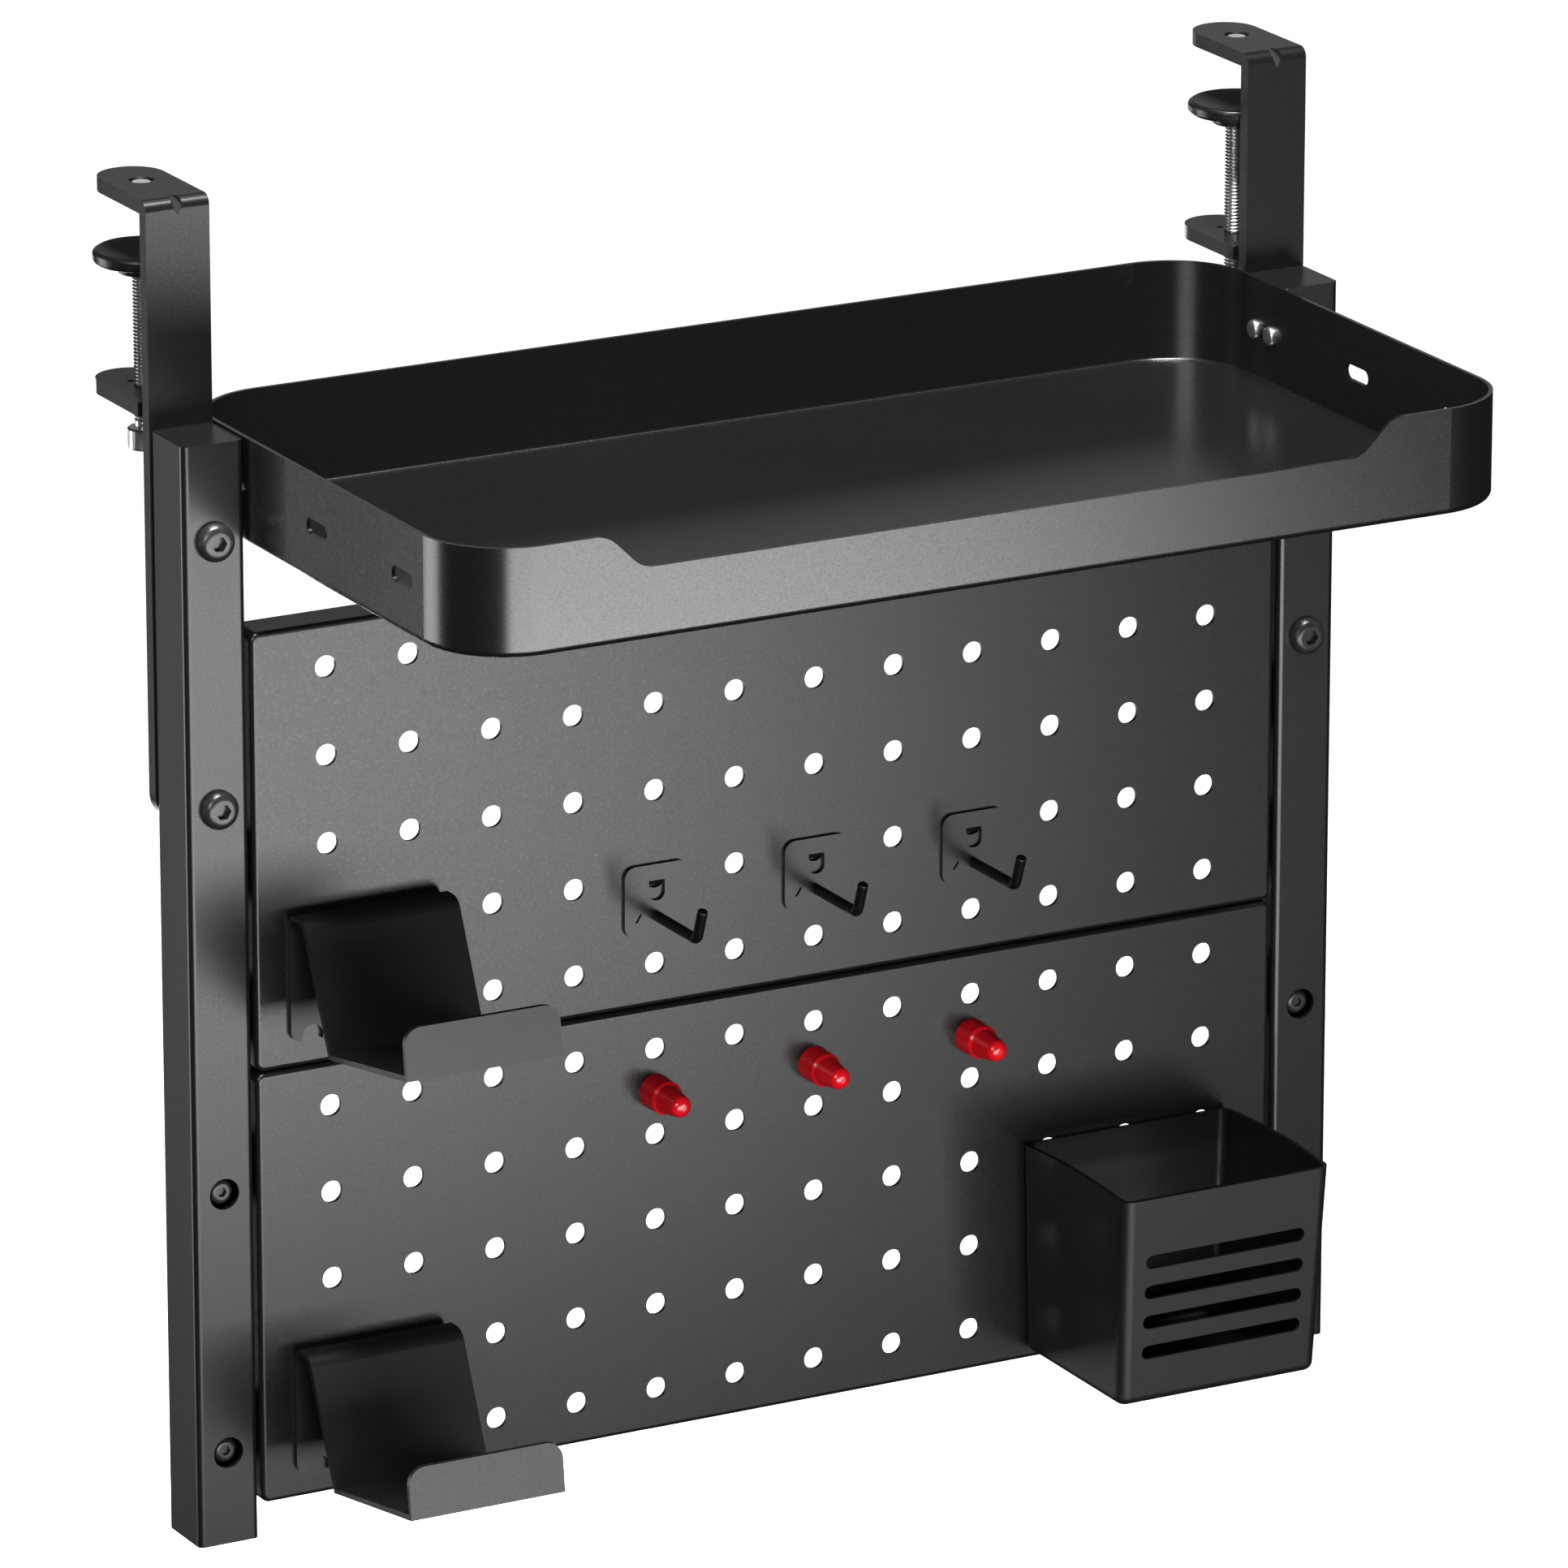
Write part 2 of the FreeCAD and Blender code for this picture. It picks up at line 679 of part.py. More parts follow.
def make_tray():
    """Shallow drawn tray with a lowered middle at the front."""
    tray = new_body("tray", z="-tray_top - tray_height")
    plan = new_sketch(tray, "XY_Plane", "Plan")
    depth = "(tray_front + tray_rear)"
    rectangle(plan, "tray_width", depth, "0", "-slot_middle")
    pad(tray, plan, "tray_height", "Block")
    rounding(tray, "tray_corner", "Corners", lambda point, run: along(run, 2))
    rounding(tray, "tray_base_round", "BaseEdge", lambda point, run: abs(point.z) < 1e-4)
    base = tray.Tip
    top = [
        "Face%d" % (number + 1)
        for number, side in enumerate(base.Shape.Faces)
        if near(side.CenterOfMass.z, "tray_height", 1e-3)
    ]
    shell = tray.newObject("PartDesign::Thickness", "Sheet")
    shell.Base = (base, top)
    shell.Value = size("tray_sheet")
    shell.setExpression("Value", bound("tray_sheet"))
    shell.Reversed = True
    doc.recompute()
    cut = new_sketch(tray, "XZ_Plane", "FrontCut", "tray_front - 20")
    low = "tray_height - cut_drop"
    outline(cut, [
        ("-cut_low_half", low),
        ("cut_low_half", low),
        ("cut_top_half", "tray_height"),
        ("cut_top_half", "tray_height + 5"),
        ("-cut_top_half", "tray_height + 5"),
        ("-cut_top_half", "tray_height"),
    ])
    pocket(tray, cut, "40", "FrontCutOut", back=True)
    rounding(tray, "cut_round", "CutEdges", lambda point, run: (
        along(run, 1) and point.y < -size("tray_front") + 2 and point.z > size(low) - 0.1
    ))
    holes = new_sketch(tray, "YZ_Plane", "SideSlots")
    for step in (-1, 0, 1):
        place = "-slot_middle + %d * slot_step" % step
        slot(holes, "slot_length", "slot_height", place, "tray_height - slot_drop")
    pocket(tray, holes, "tray_width + 10", "SideSlotCuts", both=True)
    return tray


def make_tray_screws(label, side):
    """Two small domed screws through the rear slot into the post."""
    inside = "%d * (tray_width / 2 - tray_sheet)" % side
    screws = new_body(label, x=inside, y="-slot_middle + slot_step", z="-tray_top - slot_drop")
    heads = new_sketch(screws, "YZ_Plane", "HeadPlan")
    stems = new_sketch(screws, "YZ_Plane", "ShankPlan")
    for step in (-0.5, 0.5):
        circle(heads, "tray_head", "%.1f * tray_screw_step" % step, "0")
        circle(stems, "tray_thread", "%.1f * tray_screw_step" % step, "0")
    pad(screws, heads, "small_height", "Heads", back=side > 0)
    rounding(screws, "0.7 * small_height", "Domes", lambda point, run: (
        near(-side * point.x, "small_height")
    ))
    reach = "post_centre - post_width / 2 + post_wall - tray_width / 2 + tray_sheet + 2"
    pad(screws, stems, reach, "Shanks", back=side < 0)
    return screws


def peg_tab(body, prefix, places, drop, face="0"):
    """Tabs that reach through peg holes and turn down behind the panel."""
    seat = "(peg_hole * 0.35)"
    for number, place in enumerate(places, 1):
        name = "%s%d" % (prefix, number)
        arm = new_sketch(body, "YZ_Plane", name + "Path", place)
        low = "%s - %s" % (drop, seat)
        behind = "panel_sheet + peg_play"
        far = behind + " + peg_tab_thick"
        outline(arm, [
            ("%s - 0.6 * peg_tab_thick" % face, low),
            (behind, low),
            (behind, low + " - peg_leg"),
            (far, low + " - peg_leg"),
            (far, low + " + peg_tab_thick"),
            ("%s - 0.6 * peg_tab_thick" % face, low + " + peg_tab_thick"),
        ])
        pad(body, arm, "peg_tab", name, both=True)


def make_hook_plate(label, column):
    """Small square plate with a punched tab that hooks into one peg hole."""
    place = "-hook_first + %d * hook_step" % column
    plate = new_body(label, x=place, y="-panel_front", z="-first_row - 3 * peg_pitch")
    face = new_sketch(plate, "XZ_Plane", "Face")
    rectangle(face, "hook_width", "hook_height", "0", "-hook_drop")
    pad(plate, face, "hook_sheet", "Sheet")
    rounding(plate, "hook_round", "Corners", lambda point, run: along(run, 1))
    window = new_sketch(plate, "XZ_Plane", "Window")
    tall = "(window_foot - window_top)"
    rectangle(window, "window_width", tall, "0", "-(window_foot + window_top) / 2")
    pocket(plate, window, "4 * hook_sheet", "WindowCut", both=True)
    rounding(plate, "window_width / 2 - 0.2", "WindowFoot", lambda point, run: (
        along(run, 1) and near(point.z, "-window_foot") and near(abs(point.x), "window_width / 2")
    ))
    # a short slanted dimple beside the rod's root
    slant = Rotation(Vector(0, 0, 1), size("dimple_turn"))
    place = slant.inverted().multVec(Vector(-size("dimple_out"), -size("dimple_drop"), 0))
    dimple = new_sketch(plate, "XZ_Plane", "Dimple", "hook_sheet", slant)
    slot(dimple, "dimple_length", "dimple_width", "%.3f" % place.x, "%.3f" % place.y)
    pocket(plate, dimple, "dimple_depth", "DimpleCut")
    # the punched tongue slopes down from the window's top edge into the hole
    tongue = new_sketch(plate, "YZ_Plane", "Tongue")
    seat = "-peg_hole * 0.35"
    behind = "panel_sheet + peg_play"
    outline(tongue, [
        ("-0.6 * hook_sheet", "-window_top"),
        ("0.2", seat),
        (behind, seat),
        (behind, seat + " - peg_leg"),
        (behind + " + peg_tab_thick", seat + " - peg_leg"),
        (behind + " + peg_tab_thick", seat + " + peg_tab_thick"),
        ("0.5", seat + " + peg_tab_thick"),
        ("-0.6 * hook_sheet", "-window_top + peg_tab_thick"),
    ])
    pad(plate, tongue, "peg_tab", "TongueStrip", both=True)
    return plate


def make_hook_rod(label, column):
    """Round rod standing out of the plate with its tip turned up."""
    place = "-hook_first + %d * hook_step" % column
    low = "-first_row - 3 * peg_pitch - rod_drop"
    rod = new_body(label, x=place, y="-panel_front - hook_sheet", z=low)
    path = new_sketch(rod, "YZ_Plane", "Path")
    bend = size("rod_bend")
    reach = size("rod_reach")
    turn = math.radians(90 - size("rod_lean"))
    start = Vector(0, 0, 0)
    knee = Vector(-reach + bend, 0, 0)
    centre = knee + Vector(0, bend, 0)
    arc = Part.ArcOfCircle(
        Part.Circle(centre, Vector(0, 0, 1), bend),
        math.radians(270) - turn,
        math.radians(270),
    )
    heel = centre + Vector(-bend * math.sin(turn), -bend * math.cos(turn), 0)
    rise = Vector(-math.cos(turn), math.sin(turn), 0)
    tip = heel + rise * (size("rod_tip") - bend)
    run = path.addGeometry(Part.LineSegment(start, knee), False)
    elbow = path.addGeometry(arc, False)
    end = path.addGeometry(Part.LineSegment(heel, tip), False)
    path.addConstraint(Sketcher.Constraint("Coincident", run, 1, -1, 1))
    path.addConstraint(Sketcher.Constraint("Horizontal", run))
    path.addConstraint(Sketcher.Constraint("Tangent", run, 2, elbow, 2))
    path.addConstraint(Sketcher.Constraint("Tangent", elbow, 1, end, 1))
    for kind, line, text in (
        ("Distance", run, "rod_reach - rod_bend"),
        ("Radius", elbow, "rod_bend"),
        ("Distance", end, "rod_tip - rod_bend"),
    ):
        number = path.addConstraint(Sketcher.Constraint(kind, line, size(text)))
        path.setExpression("Constraints[%d]" % number, bound(text))
    doc.recompute()
    round_bar = new_sketch(rod, "XZ_Plane", "Round")
    circle(round_bar, "rod_across")
    sweep = rod.newObject("PartDesign::AdditivePipe", "Rod")
    sweep.Profile = round_bar
    sweep.Spine = (path, [])
    doc.recompute()
    rounding(rod, "0.6", "TipEdge", lambda point, way: point.z > size("rod_tip") - 3.5)
    return rod


def make_pin(label, column):
    """Turned plastic pin with a recess for its magnet."""
    place = "-hook_first + %d * hook_step" % column
    pin = new_body(label, x=place, y="-panel_front", z="-first_row - 5.5 * peg_pitch")
    half = new_sketch(pin, "YZ_Plane", "HalfOutline")
    outline(half, [
        ("0", "magnet_across / 2"),
        ("0", "pin_across / 2"),
        ("-pin_base", "pin_shoulder / 2"),
        ("-pin_base - 0.8", "pin_neck"),
        ("-pin_length", "pin_tip"),
        ("-pin_length", "0"),
        ("-magnet_thick", "0"),
        ("-magnet_thick", "magnet_across / 2"),
    ])
    revolve(pin, half, "H_Axis", "Turned")
    rounding(pin, "0.7", "BaseEdge", lambda point, run: near(point.y, "-pin_base"))
    rounding(pin, "pin_tip - 0.4", "TipEdge", lambda point, run: near(point.y, "-pin_length"))
    return pin


def make_magnet(label, column):
    magnet = doc.addObject("Part::Cylinder", label.title().replace("_", ""))
    magnet.Label = label
    place = "-hook_first + %d * hook_step" % column
    magnet.Placement = Placement(Vector(0, 0, 0), Rotation(Vector(1, 0, 0), 90))
    magnet.setExpression("Radius", bound("magnet_across / 2"))
    magnet.setExpression("Height", bound("magnet_thick"))
    magnet.setExpression("Placement.Base.x", bound(place))
    magnet.setExpression("Placement.Base.y", bound("-panel_front"))
    magnet.setExpression("Placement.Base.z", bound("-first_row - 5.5 * peg_pitch"))
    doc.recompute()
    return magnet


def make_holder(label, step):
    """One folded strip: back plate, sloping front, rising shelf and lip."""
    top = "-holder_top - %d * holder_step" % step
    holder = new_body(label, x="-holder_centre", y="-panel_front", z=top)
    skin = "holder_sheet"
    knee_out = "-holder_knee_out"
    knee_low = "-holder_knee_drop"
    lip_out = "-holder_lip_out"
    lip_low = "-holder_lip_foot"
    lip_top = "-holder_lip_top"
    side = new_sketch(holder, "YZ_Plane", "SideOutline")
    outline(side, [
        ("0", "-holder_back"),
        ("0", "0"),
        ("-holder_fold", "0"),
        (knee_out, knee_low + " + 1.02 * " + skin),
        (lip_out + " + 1.0 * " + skin, lip_low + " + 1.0 * " + skin),
        (lip_out + " + holder_lip_lean + 1.0 * " + skin, lip_top),
        (lip_out + " + holder_lip_lean", lip_top),
        (lip_out, lip_low),
        (knee_out + " + 0.5 * " + skin, knee_low),
        ("-holder_fold + 1.06 * " + skin, "-" + skin),
        ("-" + skin, "-" + skin),
        ("-" + skin, "-holder_back"),
    ])
    pad(holder, side, "holder_width", "Strip", both=True)
    rounding(holder, "0.45 * holder_fold", "OuterFolds", lambda point, run: (
        along(run, 0) and near(point.z, "0") and point.y < 0.1
    ))
    rounding(holder, "0.45 * holder_fold - " + skin, "InnerFolds", lambda point, run: (
        along(run, 0) and near(point.z, "-" + skin) and point.y > -size("holder_fold")
    ))
    rounding(holder, "holder_round", "LipCorners", lambda point, run: (
        point.y < -size("holder_lip_out") + 6 and near(point.z, lip_top) and
        not along(run, 0)
    ))
    rounding(holder, "holder_notch", "BackCorners", lambda point, run: (
        along(run, 1) and near(point.z, "-holder_back")
    ))
    notch = new_sketch(holder, "XZ_Plane", "Notches")
    for way in (-1, 1):
        place = "%d * holder_notch_from" % way
        slot_across = "2 * holder_notch"
        circle(notch, slot_across, place, "-holder_back + 0.4 * holder_notch")
    pocket(holder, notch, "3 * " + skin, "NotchCut", both=True)
    places = ["holder_centre - 5.5 * peg_pitch", "holder_centre - 4.5 * peg_pitch"]
    peg_tab(holder, "Tab", places, "-first_row - 3 * peg_pitch + holder_top")
    return holder


def tapered_block(body, rim, floor, inset):
    """Block that narrows from rim to floor, with its upright and floor edges rounded."""
    ends = []
    for name, height, width, depth in (
        ("Rim", rim, "cup_width", "cup_depth"),
        ("Floor", floor, "cup_low_width", "cup_low_depth"),
    ):
        end = new_sketch(body, "XY_Plane", name, height)
        less = " - 2 * (%s)" % inset
        rectangle(end, width + less, depth + less, "0", "-(%s) / 2" % depth)
        ends.append(end)
    block = body.newObject("PartDesign::AdditiveLoft", "Block")
    block.Profile = ends[0]
    block.Sections = [ends[1]]
    block.Ruled = True
    doc.recompute()
    radius = "cup_round - (%s)" % inset
    rounding(body, radius, "Corners", lambda point, run: abs(run.z) > 10)
    rounding(body, radius + " - 0.8", "FloorEdge", lambda point, run: near(point.z, floor))


def make_cup():
    """Tapered sheet cup with four slots across its front."""
    place = {"x": "cup_centre", "y": "-panel_front", "z": "-cup_top"}
    space = new_body("cup_space")
    tapered_block(space, "cup_arch", "cup_sheet - cup_height", "cup_sheet")
    cup = new_body("pen_cup", **place)
    tapered_block(cup, "cup_arch", "-cup_height", "0")
    hollow = cup.newObject("PartDesign::Boolean", "Hollow")
    hollow.Type = "Cut"
    hollow.setObjects([space])
    doc.recompute()
    # the side walls rise in a low arch above the straight front and back edges
    arch = new_sketch(cup, "YZ_Plane", "Arch")
    half = size("cup_depth") / 2
    rise = size("cup_arch")
    over = size("cup_arch") + 4
    back = Vector(2, 0, 0)
    front = Vector(-2 * half - 2, 0, 0)
    crown = Vector(-half, rise, 0)
    curve = arch.addGeometry(Part.Arc(back, crown, front), False)
    left = arch.addGeometry(Part.LineSegment(front, front + Vector(0, over, 0)), False)
    lid = arch.addGeometry(
        Part.LineSegment(front + Vector(0, over, 0), back + Vector(0, over, 0)), False
    )
    right = arch.addGeometry(Part.LineSegment(back + Vector(0, over, 0), back), False)
    for first, second in ((left, lid), (lid, right)):
        arch.addConstraint(Sketcher.Constraint("Coincident", first, 2, second, 1))
    pin_point(arch, left, 1, ("-cup_depth - 2", "0"))
    pin_point(arch, left, 2, ("-cup_depth - 2", "cup_arch + 4"))
    pin_point(arch, right, 1, ("2", "cup_arch + 4"))
    pin_point(arch, right, 2, ("2", "0"))
    arch.addConstraint(Sketcher.Constraint("Coincident", curve, 1, right, 2))
    arch.addConstraint(Sketcher.Constraint("Coincident", curve, 2, left, 1))
    reach = half + 2
    radius = (reach * reach + rise * rise) / (2 * rise)
    arch.addConstraint(Sketcher.Constraint("Radius", curve, radius))
    pocket(cup, arch, "2 * cup_width", "ArchCut", both=True)
    face = new_sketch(cup, "XZ_Plane", "FrontSlots", "cup_depth - 12")
    first = "-cup_slot_first"
    for number in range(int(size("cup_slots"))):
        height = "%s - %d * cup_slot_step" % (first, number)
        slot(face, "cup_slot_length", "cup_slot_height", "0", height)
    pocket(cup, face, "24", "FrontSlotCuts", back=True)
    places = ["-peg_pitch", "peg_pitch"]
    peg_tab(cup, "Tab", places, "-first_row - 8 * peg_pitch + cup_top")
    return cup


parts = []
for word, side in (("left", -1), ("right", 1)):
    parts.append(make_post(word + "_post", side))
    parts.append(make_cap(word + "_post_top_cap", side, "-post_top", True))
    parts.append(make_cap(word + "_post_bottom_cap", side, "-post_bottom", False))
    parts.append(make_strap(word + "_clamp_strap", side))
    parts.append(make_lower_tab(word + "_clamp_lower_tab", side))
    parts.append(make_rivet(word + "_tab_rivet", side))
    parts.append(make_screw(word + "_clamp_screw", side))
    parts.append(make_pad(word + "_clamp_pad", side))
    parts.append(make_facing(word + "_pad_facing", side))
    place = "%d * post_centre" % side
    small = ("small_head", "small_height")
    parts.append(headed_pair(
        word + "_strap_bolts", (place, "-strap_thick - post_depth", "-bolt_upper"),
        "bolt_step", ("button_across", "button_height"),
        ("screw_thread", "post_depth + strap_thick"), "button_socket",
    ))
    # the deep pair stands just inside its access holes and bears on the rear wall by a shoulder
    reach = "(post_depth - head_recess - small_height)"
    parts.append(headed_pair(
        word + "_recessed_screws", (place, "-strap_thick - " + reach, "-access_upper"),
        "bolt_step", small, ("ear_thread", reach + " + panel_sheet + 1"), "small_socket",
        shoulder=("shoulder_across", reach + " - post_wall"),
    ))
    parts.append(headed_pair(
        word + "_ear_screws", (place, "-strap_thick + panel_sheet", "-ear_upper_first"),
        "ear_upper_step", small, ("ear_thread", "post_wall + panel_sheet + 1"),
        "small_socket", back=True,
    ))
    parts.append(make_tray_screws(word + "_tray_screws", side))

low_top = "-first_row + row_margin - panel_height - panel_gap"
parts.append(make_panel("upper_pegboard", "-first_row + row_margin", [
    "-ear_upper_first - %d * ear_upper_step + first_row - row_margin" % step
    for step in range(2)
]))
parts.append(make_panel("lower_pegboard", low_top, [
    "-access_upper - %d * bolt_step + first_row - row_margin + panel_height + panel_gap" % step
    for step in range(2)
]))
parts.append(make_tray())
for number in range(3):
    parts.append(make_hook_plate("hook_plate_%d" % (number + 1), number))
    parts.append(make_hook_rod("hook_rod_%d" % (number + 1), number))
    parts.append(make_pin("magnetic_pin_%d" % (number + 1), number))
    parts.append(make_magnet("pin_magnet_%d" % (number + 1), number))
parts.append(make_holder("upper_holder", 0))
parts.append(make_holder("lower_holder", 1))
parts.append(make_cup())

doc.recompute()
for item in doc.Objects:
    if "Invalid" in item.State or "Error" in item.State:
        raise ValueError(item.Label + " did not recompute")
for item in parts:
    if item.Shape.isNull() or not item.Shape.isValid() or len(item.Shape.Solids) < 1:
        raise ValueError(item.Label + " has no valid shape")

os.makedirs("parts", exist_ok=True)
for item in parts:
    item.Shape.exportStep("parts/" + item.Label + ".step")
    print(item.Label, len(item.Shape.Solids), round(item.Shape.Volume, 1))
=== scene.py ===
import math
import bmesh
import bpy
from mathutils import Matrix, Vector


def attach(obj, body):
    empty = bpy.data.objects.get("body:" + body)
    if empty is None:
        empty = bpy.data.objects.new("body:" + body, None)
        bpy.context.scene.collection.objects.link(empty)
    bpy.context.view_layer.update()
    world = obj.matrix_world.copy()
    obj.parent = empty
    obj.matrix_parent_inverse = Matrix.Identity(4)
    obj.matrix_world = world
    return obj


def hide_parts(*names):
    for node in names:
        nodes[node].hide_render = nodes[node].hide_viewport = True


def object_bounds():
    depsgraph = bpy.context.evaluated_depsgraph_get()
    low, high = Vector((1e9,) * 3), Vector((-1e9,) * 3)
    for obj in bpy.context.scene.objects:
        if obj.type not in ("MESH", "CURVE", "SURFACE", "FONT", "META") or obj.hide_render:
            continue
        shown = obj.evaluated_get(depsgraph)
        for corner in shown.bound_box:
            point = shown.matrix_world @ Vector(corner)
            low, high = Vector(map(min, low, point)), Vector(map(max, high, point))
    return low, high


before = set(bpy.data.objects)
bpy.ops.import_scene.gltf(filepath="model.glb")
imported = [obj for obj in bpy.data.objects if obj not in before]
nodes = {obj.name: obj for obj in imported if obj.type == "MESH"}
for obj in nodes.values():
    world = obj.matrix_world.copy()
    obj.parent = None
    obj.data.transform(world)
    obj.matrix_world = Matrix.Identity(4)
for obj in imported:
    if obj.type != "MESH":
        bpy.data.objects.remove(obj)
cadBox = [list(corner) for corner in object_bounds()]
print("frame loaded:", len(nodes), "nodes")


def hexColour(text):
    parts = [int(text[i:i + 2], 16) / 255 for i in (1, 3, 5)]
    return [c / 12.92 if c <= 0.04045 else ((c + 0.055) / 1.055) ** 2.4 for c in parts] + [1.0]


def addNode(tree, kind, settings=None, values=None, links=None):
    node = tree.nodes.new(kind)
    for key, value in (settings or {}).items():
        setattr(node, key, value)
    for key, value in (values or {}).items():
        node.inputs[key].default_value = value
    for key, source in (links or {}).items():
        tree.links.new(source, node.inputs[key])
    return node


def newMaterial(name, metallic, roughness, ior=None):
    material = bpy.data.materials.new(name)
    material.use_nodes = True
    tree = material.node_tree
    shader = tree.nodes["Principled BSDF"]
    shader.inputs["Metallic"].default_value = metallic
    shader.inputs["Roughness"].default_value = roughness
    if ior is not None:
        shader.inputs["IOR"].default_value = ior
    place = addNode(tree, "ShaderNodeTexCoord").outputs["Object"]
    return material, tree, shader, place


def addBump(tree, shader, height, strength, distance):
    bump = addNode(tree, "ShaderNodeBump", values={"Strength": strength, "Distance": distance},
                   links={"Height": height})
    tree.links.new(bump.outputs["Normal"], shader.inputs["Normal"])


# powder coat: a baked polyester film, nearly black, whose skin flows into a faint orange peel
powderCoat = {
    "colour": "#101010",
    "worn": "#161616",
    "roughness": 0.3,
    "trayRoughness": 0.25,       # the tray looks smoother
    "accessoryRoughness": 0.42,  # holders and cup look duller
    "peelMm": 1.6,      # width of one ripple of the film
    "peelHeightMm": 0.003,
    "speckMm": 0.5,     # drawn coarser than the real grain so that it shows
    "grainSpread": 0.035,   # how far the grain moves the roughness
    "panelIor": 1.46,   # a higher index mirrors more of the lamps
    "trayIor": 1.56,
    "accessoryIor": 1.48,
}


def powderCoatMaterial(name, roughness, ior):
    values = powderCoat
    material, tree, shader, place = newMaterial(name, 0.0, roughness, ior=ior)
    cloud = addNode(tree, "ShaderNodeTexNoise", values={"Scale": 14.0, "Detail": 3.0, "Roughness": 0.55},
                    links={"Vector": place})
    tone = addNode(tree, "ShaderNodeMix", settings={"data_type": "RGBA"},
                   values={"A": hexColour(values["colour"]), "B": hexColour(values["worn"])})
    share = addNode(tree, "ShaderNodeMapRange",
                    values={"From Min": 0.35, "From Max": 0.9, "To Min": 0.0, "To Max": 0.35},
                    links={"Value": cloud.outputs["Fac"]})
    tree.links.new(share.outputs["Result"], tone.inputs["Factor"])
    tree.links.new(tone.outputs["Result"], shader.inputs["Base Color"])
    grain = addNode(tree, "ShaderNodeTexNoise",
                    values={"Scale": 1000 / values["speckMm"], "Detail": 1.0, "Roughness": 0.5},
                    links={"Vector": place})
    rough = addNode(tree, "ShaderNodeMapRange",
                    values={"From Min": 0.25, "From Max": 0.75,
                            "To Min": roughness - values["grainSpread"],
                            "To Max": roughness + values["grainSpread"]},
                    links={"Value": grain.outputs["Fac"]})
    tree.links.new(rough.outputs["Result"], shader.inputs["Roughness"])
    peel = addNode(tree, "ShaderNodeTexNoise",
                   values={"Scale": 1000 / values["peelMm"], "Detail": 2.0, "Roughness": 0.4},
                   links={"Vector": place})
    addBump(tree, shader, peel.outputs["Fac"], 0.5, values["peelHeightMm"] / 1000)
    return material


# zinc plate: bright, slightly blue-grey, with fine turning lines round the screw
zincPlate = {"colour": "#d2d5d4", "dull": "#a9adad", "roughness": 0.34, "rivetRoughness": 0.5, "lineMm": 0.35}


def zincMaterial(name, roughness):
    values = zincPlate
    material, tree, shader, place = newMaterial(name, 1.0, roughness)
    cloud = addNode(tree, "ShaderNodeTexNoise", values={"Scale": 220.0, "Detail": 4.0},
                    links={"Vector": place})
    tone = addNode(tree, "ShaderNodeMix", settings={"data_type": "RGBA"},
                   values={"A": hexColour(values["colour"]), "B": hexColour(values["dull"])},
                   links={"Factor": cloud.outputs["Fac"]})
    tree.links.new(tone.outputs["Result"], shader.inputs["Base Color"])
    lines = addNode(tree, "ShaderNodeTexWave", settings={"wave_type": "BANDS", "bands_direction": "Z"},
                    values={"Scale": 1000 / values["lineMm"] / 20, "Distortion": 0.6, "Detail": 1.0},
                    links={"Vector": place})
    addBump(tree, shader, lines.outputs["Fac"], 0.12, 0.00005)
    return material


# blackened screws: an oiled black oxide film over machined steel, a little glossier than the paint
blackOxide = {"colour": "#131314", "edge": "#3a3a3b", "roughness": 0.3}


def blackOxideMaterial():
    values = blackOxide
    material, tree, shader, place = newMaterial("black oxide steel", 0.3, values["roughness"])
    cloud = addNode(tree, "ShaderNodeTexNoise", values={"Scale": 500.0, "Detail": 3.0},
                    links={"Vector": place})
    tone = addNode(tree, "ShaderNodeMix", settings={"data_type": "RGBA"},
                   values={"A": hexColour(values["colour"]), "B": hexColour(values["edge"])},
                   links={"Factor": cloud.outputs["Fac"]})
    tree.links.new(tone.outputs["Result"], shader.inputs["Base Color"])
    addBump(tree, shader, cloud.outputs["Fac"], 0.15, 0.00003)
    return material


# dipped PVC on the rods: deep black with a soft wet shine
rodCoat = {"colour": "#070707", "roughness": 0.36}


def rodMaterial():
    material, tree, shader, place = newMaterial("black dipped rod", 0.0, rodCoat["roughness"], ior=1.45)
    shader.inputs["Base Color"].default_value = hexColour(rodCoat["colour"])
    ripple = addNode(tree, "ShaderNodeTexNoise", values={"Scale": 700.0, "Detail": 2.0},
                     links={"Vector": place})
    addBump(tree, shader, ripple.outputs["Fac"], 0.3, 0.00003)
    return material


# injection-moulded ABS: saturated red, smooth, with a slight depth of colour
redPlastic = {"colour": "#d0121e", "deep": "#a30b14", "roughness": 0.17}


def redMaterial():
    values = redPlastic
    material, tree, shader, place = newMaterial("red moulded ABS", 0.0, values["roughness"], ior=1.54)
    cloud = addNode(tree, "ShaderNodeTexNoise", values={"Scale": 120.0, "Detail": 2.0},
                    links={"Vector": place})
    tone = addNode(tree, "ShaderNodeMix", settings={"data_type": "RGBA"},
                   values={"A": hexColour(values["deep"]), "B": hexColour(values["colour"])})
    share = addNode(tree, "ShaderNodeMapRange",
                    values={"From Min": 0.3, "From Max": 0.6, "To Min": 0.5, "To Max": 1.0},
                    links={"Value": cloud.outputs["Fac"]})
    tree.links.new(share.outputs["Result"], tone.inputs["Factor"])
    tree.links.new(tone.outputs["Result"], shader.inputs["Base Color"])
    shader.inputs["Subsurface Weight"].default_value = 0.08
    shader.inputs["Subsurface Radius"].default_value = (0.0012, 0.0003, 0.0002)
    addBump(tree, shader, cloud.outputs["Fac"], 0.1, 0.00003)
    return material


